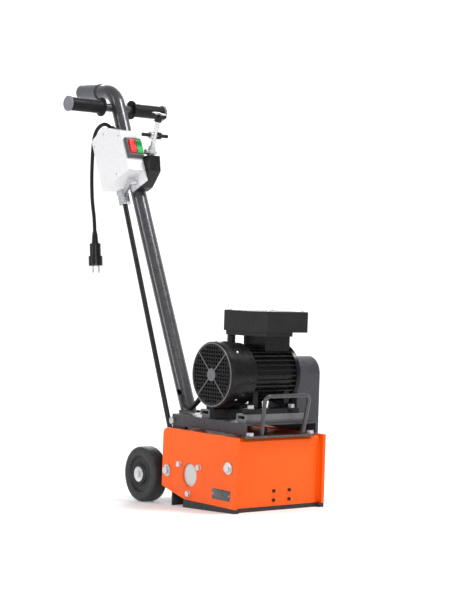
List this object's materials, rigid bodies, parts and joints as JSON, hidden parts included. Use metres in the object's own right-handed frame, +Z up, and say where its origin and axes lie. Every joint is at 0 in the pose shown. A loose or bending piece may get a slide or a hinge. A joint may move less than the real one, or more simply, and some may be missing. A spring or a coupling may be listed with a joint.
{
  "type": "floor scarifier",
  "caption": "Walk-behind floor scarifier: an electric motor drives a drum of star cutters by a belt, on a welded frame with screw-adjusted lift wheels and a tube mast.",
  "frame": {"origin": "on the floor, under the centre of the machine's bounding box without the free cord", "axes": "+X towards the belt guard's side, +Y towards the operator behind the mast, +Z up"},
  "size_m": [0.337, 0.8923, 1.1175],
  "materials": {
    "orange_paint": "glossy powder coat",
    "slate_paint": "semi-gloss paint",
    "black_paint": "satin black paint",
    "motor_paint": "satin black cast finish",
    "rail_paint": "satin mid grey",
    "dark_metallic": "glossy metallic dark paint",
    "light_paint": "satin light grey",
    "zinc": "bright zinc plate",
    "bare_steel": "ground steel",
    "hard_steel": "hardened steel",
    "cast_iron": "machined cast iron",
    "laminations": "varnished laminations",
    "rubber": "matt black rubber",
    "tread": "matt dark grey solid rubber",
    "roller_plastic": "matt nylon",
    "slate_plastic": "satin slate grey",
    "white_plastic": "glossy white",
    "black_plastic": "satin black",
    "red_plastic": "glossy red",
    "green_plastic": "glossy green"
  },
  "bodies": {
    "frame": {"side_plate_right": "orange_paint", "side_plate_left": "orange_paint", "front_plate": "orange_paint", "deck_plate": "orange_paint", "rear_plate": "orange_paint", "dust_port": "light_paint", "dust_skirt": "rubber", "cross_shafts": "zinc", "frame_bolts": "zinc", "bearing_housings": "light_paint", "drum_bearings": "bare_steel", "hex_bolts": "zinc", "motor_plate": "slate_paint", "motor_rails": "rail_paint", "motor_casing": "motor_paint", "end_shields": "motor_paint", "stator": "laminations", "fan_cowl": "motor_paint", "terminal_base": "black_plastic", "terminal_cover": "black_plastic", "motor_cable": "rubber", "belt_guard": "slate_paint", "drive_belt": "rubber", "roller_bracket": "black_paint", "carry_handle": "black_paint", "mast": "dark_metallic", "mast_sleeve": "slate_plastic", "cross_bar": "dark_metallic", "hand_grips": "rubber", "grip_caps": "slate_plastic", "mast_bracket": "dark_metallic", "control_case": "white_plastic", "switch_frame": "black_plastic", "control_plate": "white_plastic", "screw_bracket": "black_paint", "pivot_block": "zinc", "supply_cord": "rubber", "plug": "black_plastic", "plug_pins": "bare_steel", "cord_sleeve": "rubber"},
    "drum": {"drum_shaft": "bare_steel", "drum_discs": "hard_steel", "cutter_pins": "hard_steel", "star_cutters": "hard_steel", "drum_pulley": "cast_iron"},
    "rotor": {"rotor": "bare_steel", "cooling_fan": "black_plastic", "motor_pulley": "cast_iron"},
    "carrier": {"wheel_carrier": "black_paint", "wheel_bolts": "zinc"},
    "wheel_right": {"wheel_right": "tread"},
    "wheel_left": {"wheel_left": "tread"},
    "lift_rod": {"push_rod": "black_paint", "rod_clevis": "zinc"},
    "rocker": {"rocker": "zinc"},
    "screw": {"lift_screw": "zinc", "star_knob": "black_plastic"},
    "red_button": {"red_button": "red_plastic"},
    "green_button": {"green_button": "green_plastic"},
    "roller": {"front_roller": "roller_plastic"}
  },
  "joints": [
    {"name": "drum_spin", "type": "hinge", "parent": "frame", "child": "drum", "pos_m": [-0.0095, -0.24824, 0.07906], "axis": [1, 0, 0], "continuous": true},
    {"name": "motor_spin", "type": "hinge", "parent": "frame", "child": "rotor", "pos_m": [-0.0095, -0.32007, 0.32068], "axis": [1, 0, 0], "continuous": true},
    {"name": "carrier_lift", "type": "hinge", "parent": "frame", "child": "carrier", "pos_m": [-0.0095, -0.15895, 0.08546], "axis": [1, 0, 0], "range_deg": [0, 10]},
    {"name": "wheel_right_spin", "type": "hinge", "parent": "carrier", "child": "wheel_right", "pos_m": [-0.0095, -0.04834, 0.06869], "axis": [1, 0, 0], "continuous": true},
    {"name": "wheel_left_spin", "type": "hinge", "parent": "carrier", "child": "wheel_left", "pos_m": [-0.0095, -0.04834, 0.06869], "axis": [1, 0, 0], "continuous": true},
    {"name": "rod_swing", "type": "hinge", "parent": "carrier", "child": "lift_rod", "pos_m": [-0.0095, -0.06035, 0.12879], "axis": [1, 0, 0], "range_deg": [-12, 0]},
    {"name": "rocker_swing", "type": "hinge", "parent": "frame", "child": "rocker", "pos_m": [-0.0095, 0.13636, 0.81864], "axis": [1, 0, 0], "range_deg": [0, 16]},
    {"name": "screw_turn", "type": "hinge", "parent": "frame", "child": "screw", "pos_m": [-0.0095, 0.10406, 0.90228], "axis": [0, -0.3624, 0.932], "range_deg": [0, 720]},
    {"name": "roller_spin", "type": "hinge", "parent": "frame", "child": "roller", "pos_m": [-0.0095, -0.38103, 0.01714], "axis": [1, 0, 0], "continuous": true},
    {"name": "red_button_press", "type": "slide", "parent": "frame", "child": "red_button", "axis": [0, 0.9301, -0.3673], "range_m": [0, 0.003], "stiffness_N_per_m": 600, "springref_m": -0.002},
    {"name": "green_button_press", "type": "slide", "parent": "frame", "child": "green_button", "axis": [0, 0.9301, -0.3673], "range_m": [0, 0.003], "stiffness_N_per_m": 600, "springref_m": -0.002}
  ],
  "couplings": [
    {"joint": "motor_spin", "follows": "drum_spin", "ratio": 1},
    {"joint": "rod_swing", "follows": "carrier_lift", "ratio": -1.137},
    {"joint": "rocker_swing", "follows": "carrier_lift", "ratio": 1.55},
    {"joint": "screw_turn", "follows": "carrier_lift", "ratio": 72}
  ]
}
